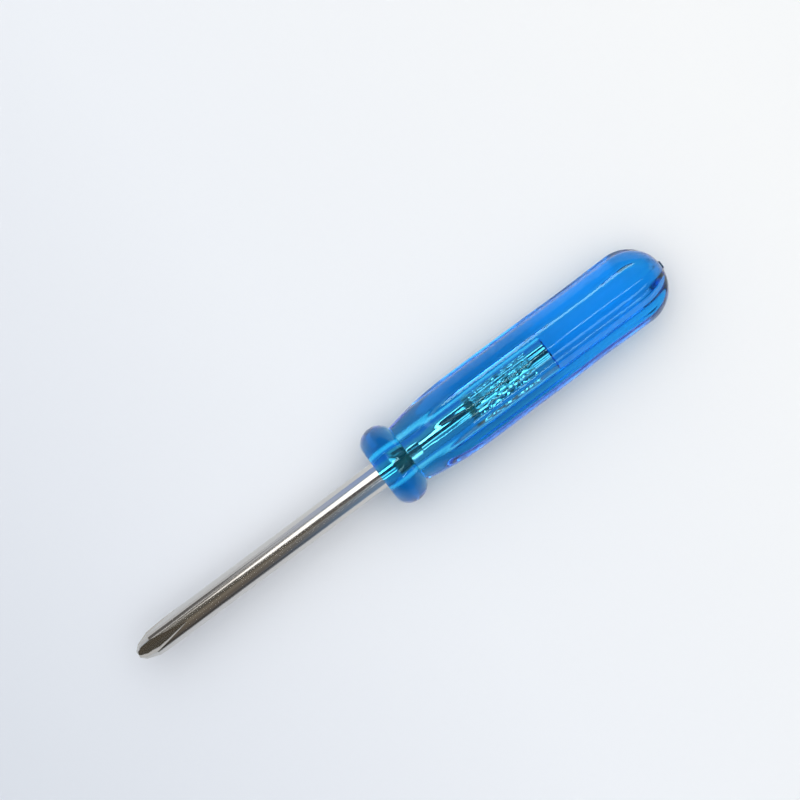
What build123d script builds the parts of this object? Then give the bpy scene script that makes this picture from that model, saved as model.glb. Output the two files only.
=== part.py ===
from build123d import *
import os
from math import cos, radians, sin, tan

# A small cross-point screwdriver: a plated steel blade with a clear plastic handle moulded onto it.
# Frame: the tool lies along X, the tip towards -X, +Z up. The origin is on the blade's axis, in the
# plane of the collar's front face. All sizes are in millimetres.

# Blade: plain round wire, with four flutes milled in its point and a serrated grip inside the handle
blade_radius = 2.0
blade_reach = 41.6              # from the collar's front face out to the tip
blade_buried = 28.7             # from the same face in to the blade's blunt inner end
inner_end_chamfer = 0.2

# Point: a blunt end, a steep nose and a slimmer flank
blunt_radius = 0.62
nose_length = 0.7
nose_radius = 1.35
flank_slope = 19.0              # degrees between the flank and the axis
point_flutes = 4
point_roll = 7.5                # degrees from +Z towards -Y, to the middle of the uppermost flute
flute_angle = 92.0              # degrees between a point flute's two walls
root_at_tip = 0.17              # from the axis to the bottom of a point flute, at the tip
root_slope = 10.6               # degrees that the bottom climbs towards the shank
runout_slope = 32.0             # degrees where the cutter lifts out
runout_root = 1.58              # from the axis to the bottom where the steeper run-out starts

# Grip: a serrated length, slightly proud of the wire, that stops the blade turning in the handle
grip_start = 16.0               # from the collar's front face
grip_length = 9.7
grip_proud = 0.12
serrations = 24
serration_depth = 0.22

# Handle: collar bead, flared neck, round body and domed end
handle_length = 48.35           # from the collar's front face to the top of the dome
body_radius = 5.54
collar_length = 4.8
collar_radius = 6.02
collar_face_radius = 4.55
collar_crest = 2.35             # from the front face to the widest place
crease_radius = 4.42            # where the collar meets the neck
neck_length = 10.8              # from the crease to the full body

# Six shallow flutes along the body
grip_flutes = 6
flute_depth = 0.47
flute_width = 30.0              # degrees of the body that one flute takes
flute_roll = -18.6              # degrees from +Z towards -Y, to the middle of the uppermost flute
cutter_gap = 0.5                # from the crease to where the cutter starts
flute_end = 1.5                 # from the axis to where a flute has faded out on the dome

# Gate vestige: the broken stub of the plastic's feed, on top of the dome
vestige_radius = 0.65
vestige_height = 0.2

dome_centre = handle_length - body_radius
body_start = collar_length + neck_length
tip_x = -blade_reach
past = 1.0                      # how far a cutter runs past the surface that it cuts


def roll_from_top(degrees):
    """A turn about X that takes +Z towards -Y by so many degrees."""
    return Rot(X=degrees)


def blade_blank():
    """The wire with its turned point and its plain inner end."""
    flank_length = (blade_radius - nose_radius) / tan(radians(flank_slope))
    corner = inner_end_chamfer
    outline = Polyline(
        (tip_x, 0),
        (tip_x, blunt_radius),
        (tip_x + nose_length, nose_radius),
        (tip_x + nose_length + flank_length, blade_radius),
        (blade_buried - corner, blade_radius),
        (blade_buried, blade_radius - corner),
        (blade_buried, 0),
        close=True,
    )
    return revolve(make_face(outline), Axis.X)


def vee_prism(root_x, root_z, slope, start_x, length):
    """A V-section prism, open upwards, whose bottom edge passes (root_x, root_z) and climbs at slope."""
    height = 3 * blade_radius
    half_width = height * tan(radians(flute_angle / 2))
    start_z = root_z - (root_x - start_x) * tan(radians(slope))
    section = Plane((start_x, 0, start_z), x_dir=(0, 1, 0), z_dir=(1, 0, 0)) * make_face(
        Polyline((0, 0), (half_width, height), (-half_width, height), close=True)
    )
    climb = (cos(radians(slope)), 0, sin(radians(slope)))
    return extrude(section, length / cos(radians(slope)), dir=climb)


def point_flute():
    """The metal that one pass of the cutter takes from the point, at the top of the blade."""
    runout_x = tip_x + (runout_root - root_at_tip) / tan(radians(root_slope))
    start_x = tip_x - past
    length = runout_x - start_x + 2 * blade_radius
    along = vee_prism(tip_x, root_at_tip, root_slope, start_x, length)
    lifting = vee_prism(runout_x, runout_root, runout_slope, start_x, length)
    return along & lifting


def serrated_grip():
    """The proud length inside the handle, with straight V grooves all round."""
    crest = blade_radius + grip_proud
    ring = Plane.YZ.offset(grip_start) * Circle(crest)
    grip = extrude(ring, grip_length)
    half_width = serration_depth * tan(radians(45))
    groove = make_face(
        Polyline(
            (crest - serration_depth, 0),
            (crest + past, half_width * (1 + past / serration_depth)),
            (crest + past, -half_width * (1 + past / serration_depth)),
            close=True,
        )
    )
    one = extrude(Plane.YZ.offset(grip_start) * groove, grip_length)
    return grip - [Rot(X=k * 360 / serrations) * one for k in range(serrations)]


def make_blade():
    """The whole blade."""
    rod = blade_blank() + serrated_grip()
    for k in range(point_flutes):
        rod -= roll_from_top(point_roll + k * 360 / point_flutes) * point_flute()
    return rod


def handle_blank():
    """The handle as it would be turned, before its flutes: collar, neck, body and dome."""
    outline = [
        Line((0, 0), (0, collar_face_radius)),
        ThreePointArc(
            (0, collar_face_radius), (collar_crest, collar_radius), (collar_length, crease_radius)
        ),
        TangentArc(
            (body_start, body_radius),
            (collar_length, crease_radius),
            tangent=(-1, 0),
        ),
        Line((body_start, body_radius), (dome_centre, body_radius)),
        ThreePointArc(
            (dome_centre, body_radius),
            (dome_centre + body_radius * sin(radians(45)), body_radius * cos(radians(45))),
            (handle_length, 0),
        ),
        Line((handle_length, 0), (0, 0)),
    ]
    return revolve(make_face(outline), Axis.X)


def grip_flute():
    """The round-bottomed cut along the top of the body, which fades out near the top of the dome."""
    root = body_radius - flute_depth
    edge_height = body_radius * cos(radians(flute_width / 2))
    edge_across = body_radius * sin(radians(flute_width / 2))
    rise = edge_height - root
    cutter_radius = (edge_across**2 + rise**2) / (2 * rise)
    # over the dome the bottom of the cut follows an arc that meets the dome's surface at flute_end
    end_squared = body_radius**2 - flute_end**2
    fade_radius = (end_squared + (root - flute_end) ** 2) / (2 * (root - flute_end))
    fade_centre = root - fade_radius
    start_x = collar_length + cutter_gap
    ring = Circle(cutter_radius)
    straight = extrude(Plane.YZ.offset(start_x) * Pos(0, root + cutter_radius) * ring, dome_centre - start_x)
    swing = Axis((dome_centre, 0, fade_centre), (0, 1, 0))
    around = revolve(Plane.YZ.offset(dome_centre) * Pos(0, root + cutter_radius) * ring, swing, 90)
    return straight + around


def vestige():
    """The stub of the feed. The flutes run out around it, so it is added after they are cut."""
    ring = Plane.YZ.offset(dome_centre) * Circle(vestige_radius)
    return extrude(ring, body_radius + vestige_height)


def make_handle(blade):
    """The moulding, with its flutes, and with a bore that is the blade's own shape, touching it."""
    handle = handle_blank()
    for k in range(grip_flutes):
        handle -= roll_from_top(flute_roll + k * 360 / grip_flutes) * grip_flute()
    return handle + vestige() - blade


blade = make_blade()
handle = make_handle(blade)

os.makedirs("parts", exist_ok=True)
for name, piece in (("blade", blade), ("handle", handle)):
    export_step(piece, "parts/" + name + ".step")
    box = piece.bounding_box()
    print(name, len(piece.solids()), "solid", round(piece.volume, 2), "mm3", box.min, box.max)
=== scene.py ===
# %% [markdown]
# # A small cross-point screwdriver
# The tool has two pieces. The blade is a length of plated steel wire with a cross point milled on its end.
# The handle is clear blue plastic, moulded round the other end of the blade. This lesson builds both with
# bmesh operators, gives each its own procedural finish, and lights them on a sheet of pale paper.

# %% Load the fixed frame
import math

import bmesh
import bpy
from mathutils import Matrix, Vector, noise


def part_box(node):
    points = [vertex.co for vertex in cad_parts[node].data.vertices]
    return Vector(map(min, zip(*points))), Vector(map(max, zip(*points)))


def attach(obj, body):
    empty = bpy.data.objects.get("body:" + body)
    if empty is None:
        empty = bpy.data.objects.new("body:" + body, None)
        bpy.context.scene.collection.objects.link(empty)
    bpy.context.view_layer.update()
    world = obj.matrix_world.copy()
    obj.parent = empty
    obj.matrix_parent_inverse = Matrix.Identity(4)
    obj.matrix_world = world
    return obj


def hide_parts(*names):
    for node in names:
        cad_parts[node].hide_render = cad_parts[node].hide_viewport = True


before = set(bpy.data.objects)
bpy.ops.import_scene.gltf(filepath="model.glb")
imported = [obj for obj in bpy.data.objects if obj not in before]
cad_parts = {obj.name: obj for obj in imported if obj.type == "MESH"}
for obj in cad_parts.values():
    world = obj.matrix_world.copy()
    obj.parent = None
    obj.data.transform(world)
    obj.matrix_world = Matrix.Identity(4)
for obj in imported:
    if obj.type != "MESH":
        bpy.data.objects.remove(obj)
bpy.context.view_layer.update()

# %% [markdown]
# ## Where things are
# The tool lies along X, the tip towards -X. Zero is at the front face of the collar, on the blade's axis.
# The frame gives the ends and the widest radius. Blender works in metres, and a tool this small is easier
# to read in millimetres, so one factor turns one into the other.

# %% Sizes taken from the frame
MM = 0.001
blade_low, blade_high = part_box("blade")
_, handle_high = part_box("handle")
tip_x = blade_low.x / MM
blade_end_x = blade_high.x / MM
handle_end_x = handle_high.x / MM
collar_radius = handle_high.z / MM
print("tip", round(tip_x, 2), "blade end", round(blade_end_x, 2), "handle end", round(handle_end_x, 2))
print("collar radius", round(collar_radius, 2))

# %% [markdown]
# ## Arcs
# Turned and moulded shapes are drawn as half outlines made of lines and arcs. A curve object could draw
# them, but plain points are enough here, and they let each arc have just as many steps as its size needs.


# %% Arcs
def arc(centre, radius, start_degrees, end_degrees, steps):
    """Points (x, r) on an arc, from start to end, both included."""
    points = []
    for k in range(steps + 1):
        angle = math.radians(start_degrees + (end_degrees - start_degrees) * k / steps)
        points.append((centre[0] + radius * math.cos(angle), centre[1] + radius * math.sin(angle)))
    return points


def arc_through(first, middle, last, steps):
    """Points on the one arc that passes three points."""
    (ax, ay), (bx, by), (cx, cy) = first, middle, last
    d = 2 * (ax * (by - cy) + bx * (cy - ay) + cx * (ay - by))
    ux = ((ax**2 + ay**2) * (by - cy) + (bx**2 + by**2) * (cy - ay) + (cx**2 + cy**2) * (ay - by)) / d
    uy = ((ax**2 + ay**2) * (cx - bx) + (bx**2 + by**2) * (ax - cx) + (cx**2 + cy**2) * (bx - ax)) / d
    start = math.degrees(math.atan2(ay - uy, ax - ux))
    end = math.degrees(math.atan2(cy - uy, cx - ux))
    return arc((ux, uy), math.hypot(ax - ux, ay - uy), start, end, steps)


print("an arc of 34 steps has", len(arc((0, 0), 1, 180, 0, 34)), "points")

# %% [markdown]
# ## A finished piece
# Whatever its shape, each piece ends in the same way: doubles are merged, the faces are turned outwards,
# and every edge that turns by less than a given angle is shaded smooth. Counting the open edges shows at
# once whether a seam or a pole was left open, which matters for clear plastic, because light goes in and
# comes out.

# %% Finished piece
merge_distance = 2e-5 * MM


def finish_piece(bm, name, sharp_degrees):
    """Turns a bmesh into a piece: normals out, smooth faces, and hard edges where it really turns."""
    bmesh.ops.remove_doubles(bm, verts=bm.verts, dist=merge_distance)
    bmesh.ops.recalc_face_normals(bm, faces=bm.faces)
    for face in bm.faces:
        face.smooth = True
    for edge in bm.edges:
        edge.smooth = edge.calc_face_angle(0) < math.radians(sharp_degrees)
    mesh = bpy.data.meshes.new(name)
    bm.to_mesh(mesh)
    volume = bm.calc_volume() / MM**3
    open_edges = sum(not edge.is_manifold for edge in bm.edges)
    bm.free()
    piece = bpy.data.objects.new(name, mesh)
    bpy.context.scene.collection.objects.link(piece)
    print(name, len(mesh.polygons), "faces,", round(volume, 1), "mm3,", open_edges, "open edges")
    return piece


print("doubles are merged within", merge_distance / MM, "mm")

# %% [markdown]
# ## Softened corners
# A mould can't make a knife edge, and a clear plastic shows every corner twice, once in front and once
# through the handle. So two corners of the outline get small curves before it is spun. A bevel after the
# spin would do too, but it would have to find its edges among hundreds.


# %% Softened corners
def soften(points, corner, reach, steps=5):
    """Replaces one corner of an outline with a small curve that starts and ends `reach` away from it."""
    at = Vector(points[corner])
    before = at + (Vector(points[corner - 1]) - at).normalized() * reach
    after = at + (Vector(points[corner + 1]) - at).normalized() * reach
    curve = []
    for k in range(steps + 1):
        u = k / steps
        curve.append(tuple(before * (1 - u) ** 2 + at * 2 * u * (1 - u) + after * u**2))
    return points[:corner] + curve + points[corner + 1 :]


print("a softened corner has", len(soften([(0, 0), (1, 0), (1, 1)], 1, 0.1)) - 2, "points")

# %% [markdown]
# ## The handle's outline
# The outline runs from the mouth of the bore out over the collar's flat face, round the collar bead, down
# into the crease, up the flared neck, along the body and over the dome to the axis. The body has a waist of
# nearly a tenth of a millimetre in its rear half, where the thick plastic sank as it cooled. The small stub
# at the end is where the plastic's feed was broken off.

# %% Handle outline
body_radius = 5.54
waist = 0.09
waist_length = 5.5
waist_shift = 6
collar_length = 4.8
collar_crest = 2.35
collar_face_radius = 4.55
face_corner = 0.12
crease_radius = 4.42
crease_corner = 0.1
neck_length = 10.8
dome_centre = 42.81
stub_radius = 0.65
stub_height = 0.18
stub_taper = 0.85
blade_radius = 2.0
bore_gap = 0.02
bore_radius = blade_radius + bore_gap

collar_bead = arc_through(
    (0, collar_face_radius), (collar_crest, collar_radius), (collar_length, crease_radius), 34
)
neck_end = collar_length + neck_length
neck_rise = body_radius - crease_radius
neck_arc_radius = (neck_length**2 + neck_rise**2) / (2 * neck_rise)
neck_angle = math.degrees(math.asin(neck_length / neck_arc_radius))
neck = arc((neck_end, body_radius - neck_arc_radius), neck_arc_radius, 90 + neck_angle, 90, 36)
waist_x = (neck_end + dome_centre) / 2 + waist_shift
body = []
for half_mm in range(33, 86):
    x = half_mm / 2
    body.append((x, body_radius - waist * math.exp(-(((x - waist_x) / waist_length) ** 2))))
stub_angle = math.degrees(math.asin(stub_radius / body_radius))
dome = arc((dome_centre, 0), body_radius, 90, stub_angle, 52)
stub_top = dome_centre + body_radius + stub_height
stub = [(dome[-1][0], stub_radius), (stub_top, stub_radius * stub_taper), (stub_top, 0)]
outline = soften([(0, bore_radius)] + collar_bead, 1, face_corner)
outline += neck[1:] + body + dome[:-1] + stub
outline = soften(outline, outline.index(collar_bead[-1]), crease_corner)
print("the outline has", len(outline), "points; neck arc radius", round(neck_arc_radius, 1), "mm")

# %% [markdown]
# ## The bore's outline
# The plastic is moulded round the blade, and then it shrinks and lets go of the metal almost everywhere.
# The gap is only two hundredths of a millimetre, but it changes the look completely: where light meets the
# gap at a slant it is reflected as by a mirror, so the blade is seen only through the middle of the handle.

# %% Bore outline
grip_start = 16.0
grip_end = 25.7
grip_radius = 2.1
grip_room = 0.3
bore_corner = 0.15
bore_steps = 58
mouth_round = 0.12
mouth_middle = 0.035


def bore_outline():
    """From the blade's inner end out to the rounded mouth, swelling round the serrated grip."""
    clear_end = blade_end_x + bore_gap
    corner_x = clear_end - bore_corner
    points = [(clear_end, 0), (clear_end, bore_radius - bore_corner), (corner_x, bore_radius)]
    for k in range(1, bore_steps):
        x = corner_x * (1 - k / bore_steps)
        in_grip = grip_start - grip_room < x < grip_end + grip_room
        points.append((x, grip_radius + bore_gap if in_grip else bore_radius))
    points.append((mouth_round, bore_radius))
    points.append((mouth_middle, bore_radius + mouth_middle))
    points.append((0, bore_radius + mouth_round))
    return points


print("the bore has", len(bore_outline()), "points")

# %% [markdown]
# ## The flutes' cutter
# Six shallow round-bottomed flutes run along the body and fade out on the dome. In the mould each has the
# form of a round cutter that runs straight and then follows an arc. The cutter's radius follows from how
# deep and how wide a flute is, and the arc from where the flute fades out.

# %% Flute cutter
flute_count = 6
flute_roll = math.radians(-18.6)
flute_depth = 0.47
flute_half_angle = math.radians(15)
flute_end = 3.0

flute_root = body_radius - flute_depth
edge_across = body_radius * math.sin(flute_half_angle)
edge_rise = body_radius * math.cos(flute_half_angle) - flute_root
cutter_radius = (edge_across**2 + edge_rise**2) / (2 * edge_rise)
cutter_height = flute_root + cutter_radius
fade_drop = flute_root - flute_end
fade_radius = (body_radius**2 - flute_end**2 + fade_drop**2) / (2 * fade_drop)
fade_centre = flute_root - fade_radius


def into_cutter(x, across, up):
    """How deep a point is inside one flute's cutter (negative when it is outside)."""
    if x < dome_centre:
        return cutter_radius - math.hypot(across, up - cutter_height)
    ring = math.hypot(x - dome_centre, up - fade_centre)
    return cutter_radius - math.hypot(across, ring - (cutter_height - fade_centre))


print("cutter radius", round(cutter_radius, 2), "mm, fade arc", round(fade_radius, 2), "mm")

# %% [markdown]
# ## Pressing the flutes
# The flutes could be cut with six booleans, but a boolean leaves long thin faces that a clear material
# shows as creases. Here each vertex of the spun body is moved inwards until it lies on the cutter's
# surface. A few small steps get it there, and a soft maximum rounds the edge where flute and land meet.

# %% Press
edge_softness = 0.16
press_steps = 7


def soft_max(a, b, width):
    """The larger of two numbers, with a rounded corner where they are nearly equal."""
    overlap = max(width - abs(a - b), 0)
    return max(a, b) + overlap**2 / (4 * width)


def press(point):
    """A point of the turned handle, in millimetres, moved in to the surface of the nearest flute."""
    x, y, z = point
    angle = math.atan2(-y, z) - flute_roll
    pitch = 2 * math.pi / flute_count
    turn = flute_roll + pitch * round(angle / pitch)
    across = -y * math.cos(turn) - z * math.sin(turn)
    up = -y * math.sin(turn) + z * math.cos(turn)
    if x < dome_centre:
        inward = Vector((0, -across, -up)).normalized()
    else:
        inward = Vector((dome_centre - x, -across, -up)).normalized()
    depth = 0
    for _ in range(press_steps):
        at = Vector((x, across, up)) + inward * depth
        depth += soft_max(-depth, into_cutter(*at), edge_softness)
    at = Vector((x, across, up)) + inward * depth
    pressed_y = -at.y * math.cos(turn) - at.z * math.sin(turn)
    pressed_z = at.z * math.cos(turn) - at.y * math.sin(turn)
    return (at.x, pressed_y, pressed_z)


flute_middle = press((30, -body_radius * math.sin(flute_roll), body_radius * math.cos(flute_roll)))
print("a flute's middle is pressed to", round(math.hypot(*flute_middle[1:]), 2), "mm from the axis")

# %% [markdown]
# ## Where the plastic still touches
# In a few places the plastic kept hold of the blade. There the gap closes, the mirror is gone, and the bare
# metal shows as a dark patch. A slow noise along and round the bore says where the wall is pulled in.

# %% Contact patches
patch_level = 0.24
patch_pull = 0.09
grain_along = 0.35
grain_around = 1.3
free_mouth = 0.3


def on_bore(point):
    """A point of the bore's wall, moved a little where the plastic still touches the blade."""
    angle = math.atan2(point.y, point.z)
    grain = Vector((point.x * grain_along, math.cos(angle) * grain_around, math.sin(angle) * grain_around))
    pull = noise.noise(grain) - patch_level
    radius = math.hypot(point.y, point.z)
    shrunk = radius - max(pull, 0) * patch_pull if point.x > free_mouth else radius
    return Vector((point.x, point.y * shrunk / radius, point.z * shrunk / radius))


print("the bore's wall at x 2 is at", round(on_bore(Vector((2, 0, bore_radius))).z, 3), "mm")

# %% [markdown]
# ## The handle
# The bore and the half outline make one line from the axis out and back to the axis, and one spin closes
# it. Lofting sections would do too, but the handle is round almost everywhere, and after the spin only its
# body has to be pressed and the wall of its bore moved.

# %% Handle mesh
spin_steps = 360
flute_start = 0.5
end_room = 0.5
wall_room = 0.06
slack = 0.01


def make_handle():
    """Spins the outline, presses the flutes, and lines the inside with the bore."""
    bm = bmesh.new()
    path = [bm.verts.new((x * MM, 0, r * MM)) for x, r in bore_outline() + outline[1:]]
    for a, b in zip(path, path[1:]):
        bm.edges.new((a, b))
    bmesh.ops.spin(
        bm,
        geom=bm.verts[:] + bm.edges[:],
        cent=(0, 0, 0),
        axis=(1, 0, 0),
        angle=2 * math.pi,
        steps=spin_steps,
        use_merge=True,
    )
    bmesh.ops.remove_doubles(bm, verts=bm.verts, dist=merge_distance)
    for v in bm.verts:
        point = v.co / MM
        radius = math.hypot(point.y, point.z)
        in_bore = point.x < blade_end_x + end_room and radius < grip_radius + wall_room
        on_body = not in_bore and collar_length + flute_start < point.x
        if in_bore and radius > blade_radius - slack:
            v.co = on_bore(point) * MM
        elif on_body and radius > stub_radius + slack:
            v.co = Vector(press(point)) * MM
    return finish_piece(bm, "moulded_handle", 30)


moulded_handle = make_handle()
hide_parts("handle")
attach(moulded_handle, "root")

# %% [markdown]
# ## The blade's point
# The blade is one stack of rings. Each ring starts as a circle and is pulled to the section that the real
# blade has there. At the point the wire is first turned to a blunt cone, and then four V flutes are milled
# whose bottoms climb towards the shank until they run out on the wire's surface. That leaves a cross.

# %% Point sections
blunt_radius = 0.62
nose_length = 0.7
nose_radius = 1.35
flank_slope = math.radians(19.0)
point_roll = math.radians(7.5)
wall_angle = math.radians(46.0)
root_at_tip = 0.17
root_slope = math.radians(12.4)
flute_stop_x = tip_x + (blade_radius - root_at_tip) / math.tan(root_slope)
ring_points = 192
quarter = ring_points // 4
wall_points = 12


def turned_radius(x):
    """The blade's radius before the flutes are milled."""
    from_tip = x - tip_x
    if from_tip < nose_length:
        return blunt_radius + (nose_radius - blunt_radius) * from_tip / nose_length
    return min(blade_radius, nose_radius + (from_tip - nose_length) * math.tan(flank_slope))


def root_height(x):
    """From the axis to the bottom of a point flute."""
    return root_at_tip + (x - tip_x) * math.tan(root_slope)


def point_ring(x):
    """The cross section of the point, as (angle, radius) pairs."""
    outer_radius = turned_radius(x)
    root = min(root_height(x), outer_radius * 0.999)
    edge = wall_angle - math.asin(root * math.sin(wall_angle) / outer_radius)
    ring = []
    for k in range(ring_points):
        step = k % quarter - quarter // 2
        side = 1 if step >= 0 else -1
        n = abs(step)
        if n <= wall_points:
            off = edge * n / wall_points
            radius = root * math.sin(wall_angle) / math.sin(wall_angle - off)
        else:
            off = edge + (math.pi / 4 - edge) * (n - wall_points) / (quarter // 2 - wall_points)
            radius = outer_radius
        angle = point_roll + (k // quarter) * math.pi / 2 + side * off
        ring.append((angle, min(radius, outer_radius)))
    return ring


print("the point's flutes run out at x", round(flute_stop_x, 2), "mm")

# %% [markdown]
# ## The plain wire
# The shank is round all the way, but the last ring of the point has its points crowded where the flutes
# were. If the next ring were evenly spaced, the faces between the two would be twisted, and a mirror finish
# would show them as a dent. So the spacing evens out slowly along the shank.


# %% Wire sections
def round_ring(radius):
    """A plain round section with the same number of points, evenly spaced."""
    start = point_roll - math.pi / 4
    return [(start + 2 * math.pi * k / ring_points, radius) for k in range(ring_points)]


def evened_ring(share):
    """A round section whose points go from the last flute's crowded spacing (0) to an even one (1)."""
    crowded = point_ring(flute_stop_x)
    even = round_ring(blade_radius)
    return [(a + (b - a) * share, blade_radius) for (a, _), (b, _) in zip(crowded, even)]


print("a round section has", len(round_ring(blade_radius)), "points")

# %% [markdown]
# ## The flat and the grip
# Inside the handle the wire has two features that keep it from turning in the plastic. Close behind the
# collar a small flat is pressed in it, with a ragged rear end. Further in is a ring of teeth along the
# wire, and some were pressed deeper than others. A slow noise along each tooth gives that unevenness.

# %% Flat and grip sections
flat_start = 4.95
flat_end = 7.0
flat_depth = 0.15
flat_roll = math.radians(7)
front_ramp = 0.15
rear_ramp = 0.25
rear_ragged = 0.3
facing_flat = 0.2
serrations = 24
tooth_depth = 0.24


def flat_ring(x):
    """A round section with one flat pressed into it, which keys the blade in the plastic."""
    ragged = noise.noise(Vector((x * 2.0, 7.0, 0)))
    front = min(max((x - flat_start) / front_ramp, 0), 1)
    rear = min(max((flat_end + rear_ragged * ragged - x) / rear_ramp, 0), 1)
    level = blade_radius - flat_depth * min(front, rear)
    ring = []
    for angle, radius in round_ring(blade_radius):
        lean = math.cos(angle - flat_roll)
        if lean > facing_flat:
            radius = min(radius, level / lean)
        ring.append((angle, radius))
    return ring


def grip_ring(x):
    """The serrated section, whose teeth are pressed a little unevenly along their length."""
    ring = []
    for k, (angle, _) in enumerate(round_ring(grip_radius)):
        tooth = k * serrations // ring_points
        wave = 0.5 + 0.5 * math.cos(2 * math.pi * (k * serrations / ring_points - tooth))
        uneven = 0.7 + 1.1 * noise.noise(Vector((x * 1.1, tooth * 3.1, 0)))
        ring.append((angle, grip_radius - tooth_depth * max(uneven, 0) * wave**2))
    return ring


flat_width = 2 * math.sqrt(blade_radius**2 - (blade_radius - flat_depth) ** 2)
print("the flat is", round(flat_width, 2), "mm wide; the grip has", serrations, "teeth")

# %% [markdown]
# ## The stack of rings
# The rings are close together where the section changes, in the point, the flat and the grip, and further
# apart along the plain wire. The last ring is a little smaller, which makes the chamfer of the inner end.

# %% Stack of rings
nose_rings = 6
flank_rings = 91
shank_rings = 24
flat_rings = 40
flat_step = 0.07
inner_start = 8.0
inner_rings = 8
grip_rings = 97
tail_rings = 4
end_chamfer = 0.2


def spaced(first, last, count):
    """Evenly spaced places from first to last, both included."""
    return [first + k * (last - first) / (count - 1) for k in range(count)]


def blade_rings():
    """All the sections, from the tip to the inner end."""
    nose = spaced(tip_x, tip_x + nose_length, nose_rings + 1)
    flank = spaced(nose[-1] + 0.1, flute_stop_x - 0.02, flank_rings)
    rings = [(x, point_ring(x)) for x in nose + flank]
    shank = spaced(flute_stop_x + 0.2, flat_start - 0.2, shank_rings)
    rings += [(x, evened_ring(k / (shank_rings - 1))) for k, x in enumerate(shank)]
    flat = [flat_start + k * flat_step for k in range(flat_rings)]
    rings += [(x, flat_ring(x)) for x in flat]
    inner = spaced(inner_start, grip_start - 0.3, inner_rings)
    rings += [(x, round_ring(blade_radius)) for x in inner]
    grip = spaced(grip_start, grip_end, grip_rings)
    rings += [(x, grip_ring(x)) for x in grip]
    tail = spaced(grip_end + 0.1, blade_end_x - end_chamfer, tail_rings)
    rings += [(x, round_ring(blade_radius)) for x in tail]
    rings.append((blade_end_x, round_ring(blade_radius - end_chamfer)))
    return rings


print("the blade is a stack of", len(blade_rings()), "rings")

# %% [markdown]
# ## The blade
# Each ring is a circle from the operator, with its vertices moved to the section. Neighbouring rings are
# bridged, and the two open ends are filled. A spin can't make a cross, and cutting the flutes with booleans
# would leave ragged faces where they run out. Edges that turn by 20 degrees or more stay sharp, which keeps
# the milled flutes crisp and the drawn wire smooth.


# %% Blade mesh
def make_blade():
    """Makes each section from a circle, bridges each pair, and closes the two ends."""
    bm = bmesh.new()
    before = None
    for x, ring in blade_rings():
        made = bmesh.ops.create_circle(bm, cap_ends=False, segments=ring_points, radius=MM)
        for v, (angle, radius) in zip(made["verts"], ring):
            v.co = Vector((x, -radius * math.sin(angle), radius * math.cos(angle))) * MM
        edges = list({e for v in made["verts"] for e in v.link_edges})
        if before:
            bmesh.ops.bridge_loops(bm, edges=before + edges)
        before = edges
    bmesh.ops.holes_fill(bm, edges=[e for e in bm.edges if e.is_boundary], sides=0)
    return finish_piece(bm, "plated_blade", 20)


plated_blade = make_blade()
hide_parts("blade")
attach(plated_blade, "root")

# %% [markdown]
# ## Helpers for finishes
# Both finishes start from one Principled shader, and in both a noise drives the roughness and a small bump.
# Short functions make those nodes and link them, so each finish reads as a list of what it is.


# %% Finish helpers
def new_material(name):
    """A node material with nothing in it but a Principled shader and the output."""
    material = bpy.data.materials.new(name)
    material.use_nodes = True
    tree = material.node_tree
    tree.nodes.clear()
    shader = tree.nodes.new("ShaderNodeBsdfPrincipled")
    output = tree.nodes.new("ShaderNodeOutputMaterial")
    tree.links.new(shader.outputs["BSDF"], output.inputs["Surface"])
    return material, tree, shader, output


def stretch(tree, value, from_span, to_span=(0, 1)):
    """Maps a number from one span to another, and holds it at the ends."""
    node = tree.nodes.new("ShaderNodeMapRange")
    node.inputs["From Min"].default_value = from_span[0]
    node.inputs["From Max"].default_value = from_span[1]
    node.inputs["To Min"].default_value = to_span[0]
    node.inputs["To Max"].default_value = to_span[1]
    tree.links.new(value, node.inputs["Value"])
    return node.outputs["Result"]


def add_bumps(tree, shader, height, strength, distance):
    """Tilts the shading normal by a height pattern."""
    bump = tree.nodes.new("ShaderNodeBump")
    bump.inputs["Strength"].default_value = strength
    bump.inputs["Distance"].default_value = distance
    tree.links.new(height, bump.inputs["Height"])
    tree.links.new(bump.outputs["Normal"], shader.inputs["Normal"])


print("materials so far:", len(bpy.data.materials))

# %% [markdown]
# ## The clear blue plastic
# The handle is coloured right through, so the colour comes from depth: red light is soaked up first, green
# about a fifth as fast and blue hardly at all. A volume absorption inside a clear surface does that, and
# gives thin places a paler cyan and thick ones a deep blue, which a tinted surface can't. The surface is
# glossy, with a slow ripple from the mould. A specular tint makes its head-on reflections bluish.

# %% Plastic
ripple_scale = 260
ripple_strength = 0.1
ripple_height = 0.02 * MM
gloss = (0.0, 0.03)


def clear_blue_plastic():
    """A clear surface with a blue inside."""
    material, tree, shader, output = new_material("clear_blue_plastic")
    shader.inputs["Base Color"].default_value = (1, 1, 1, 1)
    shader.inputs["Transmission Weight"].default_value = 1.0
    shader.inputs["IOR"].default_value = 1.49
    shader.inputs["Specular Tint"].default_value = (0.45, 0.9, 1.0, 1)
    coords = tree.nodes.new("ShaderNodeTexCoord")
    ripple = tree.nodes.new("ShaderNodeTexNoise")
    ripple.inputs["Scale"].default_value = ripple_scale
    ripple.inputs["Detail"].default_value = 2
    tree.links.new(coords.outputs["Object"], ripple.inputs["Vector"])
    tree.links.new(stretch(tree, ripple.outputs["Fac"], (0, 1), gloss), shader.inputs["Roughness"])
    add_bumps(tree, shader, ripple.outputs["Fac"], ripple_strength, ripple_height)
    depth = tree.nodes.new("ShaderNodeVolumeAbsorption")
    depth.inputs["Color"].default_value = (0.0, 0.8, 0.986, 1)
    depth.inputs["Density"].default_value = 370
    tree.links.new(depth.outputs["Volume"], output.inputs["Volume"])
    return material


moulded_handle.data.materials.append(clear_blue_plastic())
print("the handle's finish is", moulded_handle.data.materials[0].name)

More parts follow.
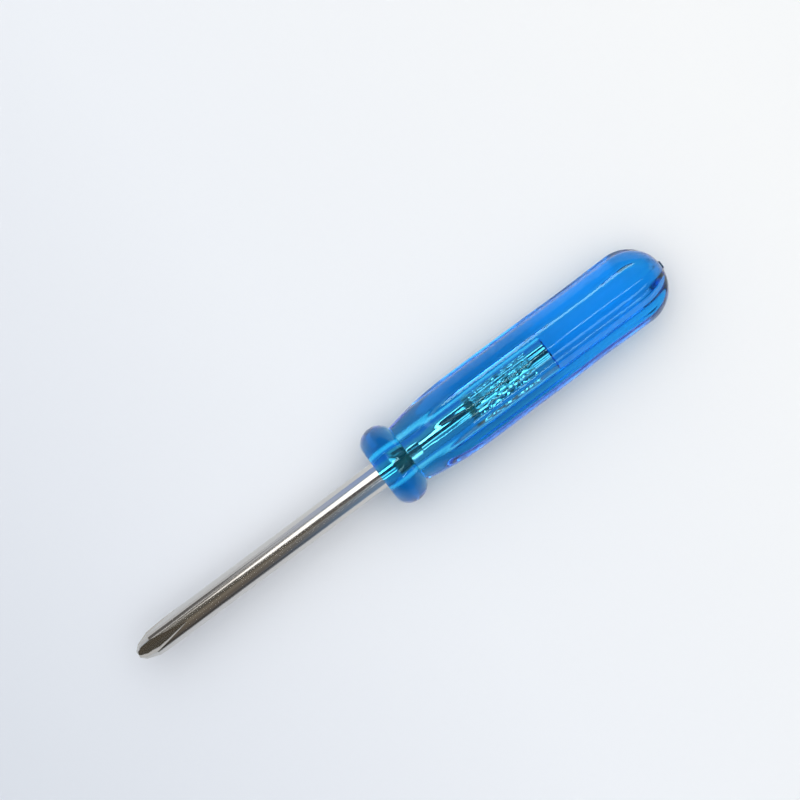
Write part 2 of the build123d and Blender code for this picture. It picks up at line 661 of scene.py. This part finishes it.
# %% [markdown]
# ## The plated steel
# The wire was drawn through a die and then nickel plated, so it is bright but not a perfect mirror: faint
# lines run along it. They could be a fine wave, but a noise stretched along X looks less regular. The same
# noise drives the roughness and a very small bump.

# %% Plated steel
line_scale = (60, 2200, 2200)
line_strength = 0.25
line_height = 0.04 * MM
polish = (0.05, 0.16)


def bright_nickel():
    """A warm grey mirror with lines along it."""
    material, tree, shader, _ = new_material("bright_nickel")
    shader.inputs["Base Color"].default_value = (0.62, 0.6, 0.57, 1)
    shader.inputs["Metallic"].default_value = 1.0
    coords = tree.nodes.new("ShaderNodeTexCoord")
    mapping = tree.nodes.new("ShaderNodeMapping")
    mapping.inputs["Scale"].default_value = line_scale
    tree.links.new(coords.outputs["Object"], mapping.inputs["Vector"])
    lines = tree.nodes.new("ShaderNodeTexNoise")
    lines.inputs["Scale"].default_value = 1
    lines.inputs["Detail"].default_value = 3
    tree.links.new(mapping.outputs["Vector"], lines.inputs["Vector"])
    tree.links.new(stretch(tree, lines.outputs["Fac"], (0, 1), polish), shader.inputs["Roughness"])
    add_bumps(tree, shader, lines.outputs["Fac"], line_strength, line_height)
    return material


plated_blade.data.materials.append(bright_nickel())
print("the blade's finish is", plated_blade.data.materials[0].name)

# %% [markdown]
# ## Helpers for the stage
# The paper, the cards and the room need a few more nodes: sums, colour ramps and mixes of two colours. A
# mix node keeps a socket for every type of data, so its colours are found by number: 6 and 7 go in, 2 comes
# out.


# %% Stage helpers
def calculate(tree, operation, first, second):
    """One sum, from two sockets or from a socket and a plain number."""
    node = tree.nodes.new("ShaderNodeMath")
    node.operation = operation
    for socket, item in zip(node.inputs, (first, second)):
        if isinstance(item, float):
            socket.default_value = item
        else:
            tree.links.new(item, socket)
    return node.outputs["Value"]


def colour_ramp(tree, value, stops):
    """A colour for each value, through (position, colour) stops in order."""
    ramp = tree.nodes.new("ShaderNodeValToRGB")
    elements = ramp.color_ramp.elements
    elements[0].position = stops[0][0]
    elements[0].color = (*stops[0][1], 1)
    elements[1].position = stops[-1][0]
    elements[1].color = (*stops[-1][1], 1)
    for position, colour in stops[1:-1]:
        elements.new(position).color = (*colour, 1)
    tree.links.new(value, ramp.inputs["Fac"])
    return ramp.outputs["Color"]


def mix_colours(tree, factor, low, high):
    """Fades from one colour to another, where the second may also be three numbers."""
    node = tree.nodes.new("ShaderNodeMix")
    node.data_type = "RGBA"
    tree.links.new(factor, node.inputs[0])
    tree.links.new(low, node.inputs[6])
    if isinstance(high, tuple):
        node.inputs[7].default_value = (*high, 1)
    else:
        tree.links.new(high, node.inputs[7])
    return node.outputs[2]


print("materials so far:", len(bpy.data.materials))

# %% [markdown]
# ## The paper
# The tool lies on pale paper whose colour carries painted shade: it is darker towards the tip, where the
# light falls off. Real clear plastic gathers light from all sides and glows on the paper under it, and path
# tracing finds such light slowly. So the paper sends out a little painted glow of its own, but only to rays
# that come through the plastic. A painted shadow of the blade halves it under the blade, and painted shade
# makes it less where the rays meet the paper at a slant. Slanting rays also see the paper in a painted
# deeper blue. This is a stand-in that belongs to the stage: it shifts a little when the camera moves, and
# it doesn't go with the object.

# %% Paper
paper_span = (-70 * MM, 70 * MM)
# Painted shade: the paper's colours run darker towards the tip, where the light falls off.
paper_painted_shade_stops = [
    (0, (0.70, 0.74, 0.80)),
    (0.25, (0.78, 0.815, 0.87)),
    (0.5, (0.86, 0.89, 0.93)),
    (1, (0.93, 0.945, 0.95)),
]
# Painted glow: light that the paper sends out to rays through the plastic, less at a slant.
painted_glow_stops = [(0, (0.22, 0.27, 0.33)), (0.78, (0.0, 0.0, 0.0))]
# Painted shadow of the blade: the glow is halved where the blade lies, from X 18 to 36 mm.
painted_blade_shadow_span = (18 * MM, 36 * MM)
painted_blade_shadow_share = (0.5, 1.0)
# Painted deeper blue: slanting rays through the plastic see the paper bluer.
painted_slant_span = (0.46, 0.68)
painted_slant_blue = (0.12, 0.32, 0.62)


def paper_with_painted_light():
    """Matt paper with painted shade, and a painted glow and deeper blue seen through the plastic."""
    material, tree, shader, _ = new_material("paper_with_painted_light")
    shader.inputs["Roughness"].default_value = 0.9
    coords = tree.nodes.new("ShaderNodeTexCoord")
    parts = tree.nodes.new("ShaderNodeSeparateXYZ")
    tree.links.new(coords.outputs["Object"], parts.inputs["Vector"])
    # Painted shade: the paper darkens along X towards the tip.
    paper = colour_ramp(tree, stretch(tree, parts.outputs["X"], paper_span), paper_painted_shade_stops)
    # Painted glow: an emission on the paper that stands in for light carried through the plastic, weaker at
    # a slant.
    facing = tree.nodes.new("ShaderNodeLayerWeight")
    facing.inputs["Blend"].default_value = 0.5
    glow = colour_ramp(tree, facing.outputs["Facing"], painted_glow_stops)
    tree.links.new(glow, shader.inputs["Emission Color"])
    through_plastic = tree.nodes.new("ShaderNodeLightPath").outputs["Is Transmission Ray"]
    # Painted shadow of the blade: the glow runs from half under the blade to full behind it.
    painted_blade_shadow = stretch(tree, parts.outputs["X"], painted_blade_shadow_span, painted_blade_shadow_share)
    strength = calculate(tree, "MULTIPLY", through_plastic, painted_blade_shadow)
    tree.links.new(strength, shader.inputs["Emission Strength"])
    # Painted deeper blue for rays that come through the plastic at a slant.
    slant = stretch(tree, facing.outputs["Facing"], painted_slant_span)
    deeper = calculate(tree, "MULTIPLY", slant, through_plastic)
    tree.links.new(mix_colours(tree, deeper, paper, painted_slant_blue), shader.inputs["Base Color"])
    return material


print("the paper's glow under the blade is", painted_blade_shadow_share[0], "of the glow behind it")

# %% [markdown]
# ## The table
# The tool rests on its collar and on its body, which is a little thinner, so in the tool's frame the table
# leans by less than a degree. It is one large plane from the grid operator. It is there for the picture
# only, so it is a stage piece and no part of the object.

# %% Table
table_size = 1.5


def make_table():
    """A large plane that touches the collar and the body."""
    bm = bmesh.new()
    bmesh.ops.create_grid(bm, x_segments=1, y_segments=1, size=table_size)
    lean = math.atan((collar_radius - body_radius) / (dome_centre - collar_crest))
    turn = Matrix.Rotation(-lean, 4, "Y")
    turn.translation = Vector((collar_crest, 0, -collar_radius)) * MM
    bmesh.ops.transform(bm, matrix=turn, verts=bm.verts)
    mesh = bpy.data.meshes.new("table")
    bm.to_mesh(mesh)
    bm.free()
    table = bpy.data.objects.new("table", mesh)
    bpy.context.scene.collection.objects.link(table)
    table.data.materials.append(paper_with_painted_light())
    print("the table leans by", round(math.degrees(lean), 2), "degrees")


make_table()

# %% [markdown]
# ## A card for the reflections
# Bright metal looks like whatever is round it, so its light and dark bands are made by cards overhead. If
# the cards lit the paper too, it would get patches of light and shade. So each card glows only for rays
# that haven't yet bounced off a matt surface, which is a diffuse depth of nought.

# %% Card helper
card_height = 0.5
half_a_bounce = 0.5


def make_card(name, corners, colour, strength):
    """A flat card overhead, from its corners in metres, that the camera itself doesn't see."""
    bm = bmesh.new()
    bmesh.ops.create_circle(bm, cap_ends=True, segments=len(corners), radius=1)
    for v, (x, y) in zip(bm.verts, corners):
        v.co = Vector((x, y, card_height))
    mesh = bpy.data.meshes.new(name)
    bm.to_mesh(mesh)
    bm.free()
    card = bpy.data.objects.new(name, mesh)
    bpy.context.scene.collection.objects.link(card)
    material = bpy.data.materials.new(name)
    material.use_nodes = True
    tree = material.node_tree
    tree.nodes.clear()
    glow = tree.nodes.new("ShaderNodeEmission")
    glow.inputs["Color"].default_value = (*colour, 1)
    diffuse_depth = tree.nodes.new("ShaderNodeLightPath").outputs["Diffuse Depth"]
    only_seen = calculate(tree, "LESS_THAN", diffuse_depth, half_a_bounce)
    tree.links.new(calculate(tree, "MULTIPLY", only_seen, strength), glow.inputs["Strength"])
    output = tree.nodes.new("ShaderNodeOutputMaterial")
    tree.links.new(glow.outputs["Emission"], output.inputs["Surface"])
    material.cycles.emission_sampling = "NONE"
    card.data.materials.append(material)
    card.visible_camera = False
    card.visible_diffuse = False
    card.visible_shadow = False
    print(name, len(corners), "corners, strength", strength)


print("the cards hang", card_height, "m above the tool's axis")

# %% [markdown]
# ## The cards
# The softbox makes the long highlight on the shank, and its slanting edge narrows the highlight towards the
# tip. The strip light runs over the handle and draws bright lines on the flutes' edges and on the buried
# blade, and the thin and the side light add fainter ones beside it. The edge light and the dark wall give
# the shank a light and a dark line on its +Y side.

# %% Cards
white = (1, 1, 1)
softbox = [
    (0.005, 0.06),
    (-0.02, 0.06),
    (-0.05, 0.134),
    (-0.085, 0.21),
    (-0.06, 0.3),
    (-0.02, 0.48),
    (0.005, 0.48),
]
make_card("softbox", softbox, (1.0, 0.99, 0.97), 2.2)
make_card("strip_light", [(0.6, 0.018), (0.005, 0.018), (0.005, 0.095), (0.6, 0.095)], white, 9.0)
make_card("thin_light", [(0.6, -0.24), (0.0, -0.24), (0.0, -0.185), (0.6, -0.185)], white, 4.0)
make_card("side_light", [(0.6, -0.466), (0.0, -0.466), (0.0, -0.42), (0.6, -0.42)], white, 7.0)
make_card("edge_light", [(-0.085, 0.4), (-0.2, 0.4), (-0.2, 0.47), (-0.085, 0.47)], white, 1.1)
make_card("dark_wall", [(-0.1, 0.5), (-0.6, 0.5), (-0.6, 1.3), (-0.1, 1.3)], (1, 0.95, 0.9), 0.15)

# %% [markdown]
# ## The room in the reflections
# Between and below the cards the metal and the plastic reflect a room. Its colour depends on the angle
# round the tool, from -120 degrees on the +Y side over the top to 120 degrees on the -Y side. Two colour
# ramps on that angle paint it, one for the tip's side and a bluer one for the handle's side. Far out in
# front of the tip both fade into a pale blue end wall.

# %% Room
ramp_reach = 120
tip_side = [
    (-110, (0.60, 0.62, 0.64)),
    (-90, (0.72, 0.74, 0.76)),
    (-55, (0.68, 0.69, 0.70)),
    (-47, (0.32, 0.31, 0.30)),
    (-30, (0.20, 0.19, 0.17)),
    (0, (0.13, 0.12, 0.10)),
    (12, (0.22, 0.19, 0.15)),
    (22, (0.26, 0.23, 0.18)),
    (40, (0.17, 0.14, 0.11)),
    (60, (0.14, 0.12, 0.10)),
    (73, (0.05, 0.045, 0.04)),
    (78, (0.05, 0.045, 0.04)),
    (84, (0.30, 0.31, 0.32)),
    (120, (0.60, 0.62, 0.64)),
]
handle_side = [
    (-110, (0.12, 0.33, 0.80)),
    (-60, (0.14, 0.36, 0.95)),
    (-44, (0.40, 0.60, 0.85)),
    (-20, (0.34, 0.48, 0.64)),
    (-12, (0.14, 0.16, 0.20)),
    (0, (0.09, 0.10, 0.14)),
    (14, (0.09, 0.10, 0.14)),
    (30, (0.34, 0.48, 0.64)),
    (66, (0.30, 0.50, 0.80)),
    (120, (0.20, 0.42, 0.80)),
]
side_change = (-0.06, 0.0)
end_change = (-0.6, -0.75)
end_wall = (0.35, 0.52, 0.75)

world = bpy.data.worlds.new("studio")
bpy.context.scene.world = world
world.use_nodes = True
tree = world.node_tree
direction = tree.nodes.new("ShaderNodeTexCoord").outputs["Generated"]
parts = tree.nodes.new("ShaderNodeSeparateXYZ")
tree.links.new(direction, parts.inputs["Vector"])
lean = calculate(tree, "ARCTAN2", parts.outputs["Y"], parts.outputs["Z"])
around = stretch(tree, lean, (math.radians(ramp_reach), math.radians(-ramp_reach)))
walls = []
for stops in (tip_side, handle_side):
    places = [((angle + ramp_reach) / (2 * ramp_reach), colour) for angle, colour in stops]
    walls.append(colour_ramp(tree, around, places))
both_sides = mix_colours(tree, stretch(tree, parts.outputs["X"], side_change), *walls)
room = mix_colours(tree, stretch(tree, parts.outputs["X"], end_change), both_sides, end_wall)
seen = tree.nodes["Background"]
tree.links.new(room, seen.inputs["Color"])
print("the room has", len(tip_side), "and", len(handle_side), "colours round the tool")

# %% [markdown]
# ## The sky that lights the paper
# The paper needs a smooth, plain light with soft shadows, not that room. So rays that have bounced off a
# matt surface see another sky instead: brightest a little off the zenith, and falling off to the horizon,
# as an overcast sky does. The same diffuse depth as in the cards chooses between the two.

# %% Sky
brightest = (0.08, 0.2, 0.975)
sky_fall = 2.5
sky_strength = (0.125, 2.19)

toward = tree.nodes.new("ShaderNodeVectorMath")
toward.operation = "DOT_PRODUCT"
toward.inputs[1].default_value = brightest
tree.links.new(direction, toward.inputs[0])
peak = calculate(tree, "POWER", toward.outputs["Value"], sky_fall)
peak.node.use_clamp = True
sky = tree.nodes.new("ShaderNodeBackground")
sky.inputs["Color"].default_value = (0.985, 0.985, 0.99, 1)
tree.links.new(stretch(tree, peak, (0, 1), sky_strength), sky.inputs["Strength"])
diffuse_depth = tree.nodes.new("ShaderNodeLightPath").outputs["Diffuse Depth"]
both = tree.nodes.new("ShaderNodeMixShader")
tree.links.new(calculate(tree, "GREATER_THAN", diffuse_depth, half_a_bounce), both.inputs["Fac"])
tree.links.new(seen.outputs["Background"], both.inputs[1])
tree.links.new(sky.outputs["Background"], both.inputs[2])
tree.links.new(both.outputs["Shader"], tree.nodes["World Output"].inputs["Surface"])
world.cycles.sampling_method = "NONE"
print("the sky's strength runs from", sky_strength[0], "to", sky_strength[1])

# %% [markdown]
# ## The camera
# The camera looks straight down from 0.4 m, and it is turned so that the tool lies slantwise with its tip
# at the lower left. Euler angles could say that, but here it is plainer to give the two directions that are
# right and up in the picture.

# %% Camera
view_width = 110.5 * MM
camera_height = 0.4
camera_x = 8.36 * MM
camera_y = 6.585 * MM
roll = math.radians(36.73)
camera_data = bpy.data.cameras.new("camera")
camera_data.angle = 2 * math.atan(view_width / 2 / camera_height)
camera = bpy.data.objects.new("camera", camera_data)
bpy.context.scene.collection.objects.link(camera)
right = Vector((math.cos(roll), -math.sin(roll), 0))
up = Vector((math.sin(roll), math.cos(roll), 0))
turn = Matrix((right, up, Vector((0, 0, 1)))).transposed().to_4x4()
turn.translation = Vector((camera_x, camera_y, camera_height))
camera.matrix_world = turn
bpy.context.scene.camera = camera
bpy.context.scene.view_settings.view_transform = "Standard"
print("the view is", round(math.degrees(camera_data.angle), 1), "degrees wide")
